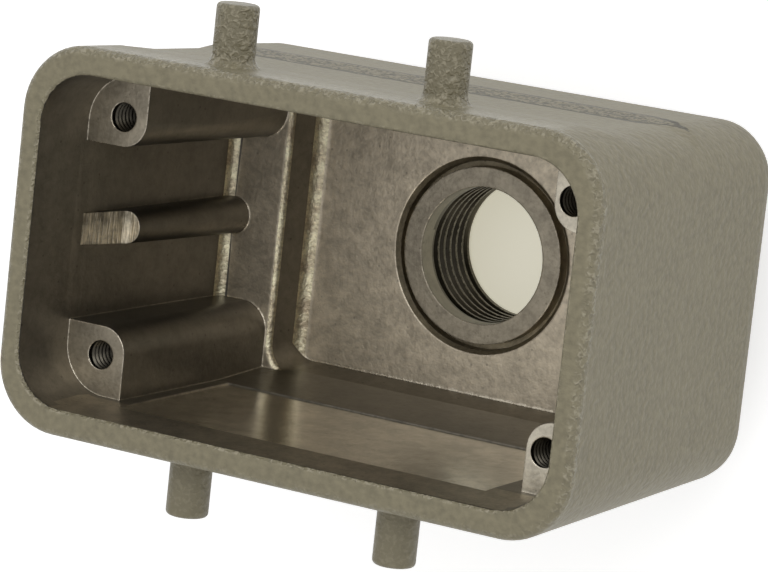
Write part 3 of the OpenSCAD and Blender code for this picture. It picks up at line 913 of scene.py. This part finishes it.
class HOOD_OT_stage(bpy.types.Operator):
    """Adds the pale floor, soft studio light and the camera"""
    bl_idname = "hood.stage"
    bl_label = "Stage"

    def execute(self, context):
        setup = context.scene.hood_stage
        bpy.ops.object.select_all(action="DESELECT")
        bpy.ops.mesh.primitive_plane_add(size=FLOOR_SIZE, location=(0, 0, 0))
        floor = context.object
        floor.name = "studio_floor"
        # Matt white card: bright to the camera and in reflections, plain grey to other light.
        mat, tree = new_material("white_card_matt", CARD_DISPLAY)
        ray = add_node(tree, "ShaderNodeLightPath")
        shown = add_node(tree, "ShaderNodeMath", {"operation": "MAXIMUM"},
                         {0: ray.outputs["Is Camera Ray"], 1: ray.outputs["Is Glossy Ray"]})
        seen = add_node(tree, "ShaderNodeMath", {"operation": "MAXIMUM"},
                        {0: shown.outputs["Value"], 1: ray.outputs["Is Transmission Ray"]})
        card = add_node(tree, "ShaderNodeBsdfDiffuse", {"Color": CARD})
        where = add_node(tree, "ShaderNodeTexCoord")
        away = add_node(tree, "ShaderNodeVectorMath", {"operation": "LENGTH"},
                        {0: where.outputs["Object"]})
        under = add_node(tree, "ShaderNodeMapRange",
                         {"From Min": UNDER_NECK[0], "From Max": UNDER_NECK[1]},
                         {"Value": away.outputs["Value"]})
        # The card under the neck, seen only through the bore, is a warmer white.
        tint = add_node(tree, "ShaderNodeMix",
                        {"data_type": "RGBA", "A": WHITE, "B": WARM_WHITE},
                        {"Factor": under.outputs["Result"]})
        glow = add_node(tree, "ShaderNodeEmission", {"Strength": setup.floor_glow},
                        {"Color": tint.outputs["Result"]})
        bright = add_node(tree, "ShaderNodeBsdfDiffuse", {"Color": BRIGHT_CARD})
        lit = add_node(tree, "ShaderNodeAddShader", None,
                       {0: bright.outputs["BSDF"], 1: glow.outputs["Emission"]})
        pick = add_node(tree, "ShaderNodeMixShader", None,
                        {0: seen.outputs["Value"], 1: card.outputs["BSDF"],
                         2: lit.outputs["Shader"]})
        add_node(tree, "ShaderNodeOutputMaterial", None, {"Surface": pick.outputs["Shader"]})
        floor.data.materials.append(mat)

        world = bpy.data.worlds.new("studio")
        world.use_nodes = True
        context.scene.world = world
        sky = world.node_tree.nodes["Background"]
        sky.inputs["Color"].default_value = WHITE
        sky.inputs["Strength"].default_value = setup.fill

        softbox("key_softbox", KEY_AT, KEY_SIZE, setup.key_power)
        softbox("side_softbox", SIDE_AT, SIDE_SIZE, setup.side_power)

        view = bpy.data.cameras.new("photo_camera")
        view.lens = CAMERA_LENS
        view.sensor_width = CAMERA_SENSOR
        view.clip_start = 0.01
        camera = bpy.data.objects.new("photo_camera", view)
        context.scene.collection.objects.link(camera)
        turn = Euler([math.radians(angle) for angle in CAMERA_TURN])
        camera.matrix_world = Matrix.LocRotScale(Vector(CAMERA_AT), turn, None)
        context.scene.camera = camera
        context.scene.view_settings.view_transform = "Standard"
        return {"FINISHED"}


STEPS = (HOOD_OT_casting, HOOD_OT_entry_thread, HOOD_OT_screw_threads, HOOD_OT_finish, HOOD_OT_stage)


class HOOD_PT_panel(bpy.types.Panel):
    """Lists the steps and their sizes"""
    bl_label = "Connector hood"
    bl_idname = "HOOD_PT_panel"
    bl_space_type = "VIEW_3D"
    bl_region_type = "UI"
    bl_category = "Hood"

    def draw(self, context):
        for step in STEPS:
            self.layout.operator(step.bl_idname)
        for group in (context.scene.hood_threads, context.scene.hood_finish, context.scene.hood_stage):
            box = self.layout.box()
            for name in group.bl_rna.properties.keys():
                if name not in ("rna_type", "name"):
                    box.prop(group, name)


CLASSES = (HoodFinish, HoodThreads, HoodStage, *STEPS, HOOD_PT_panel)


def register():
    for cls in CLASSES:
        bpy.utils.register_class(cls)
    bpy.types.Scene.hood_finish = bpy.props.PointerProperty(type=HoodFinish)
    bpy.types.Scene.hood_threads = bpy.props.PointerProperty(type=HoodThreads)
    bpy.types.Scene.hood_stage = bpy.props.PointerProperty(type=HoodStage)


def unregister():
    del bpy.types.Scene.hood_stage
    del bpy.types.Scene.hood_threads
    del bpy.types.Scene.hood_finish
    for cls in reversed(CLASSES):
        bpy.utils.unregister_class(cls)


def main():
    register()
    bpy.ops.hood.casting()
    bpy.ops.hood.entry_thread()
    bpy.ops.hood.screw_threads()
    bpy.ops.hood.finish()
    bpy.ops.hood.stage()


if __name__ == "__main__":
    main()
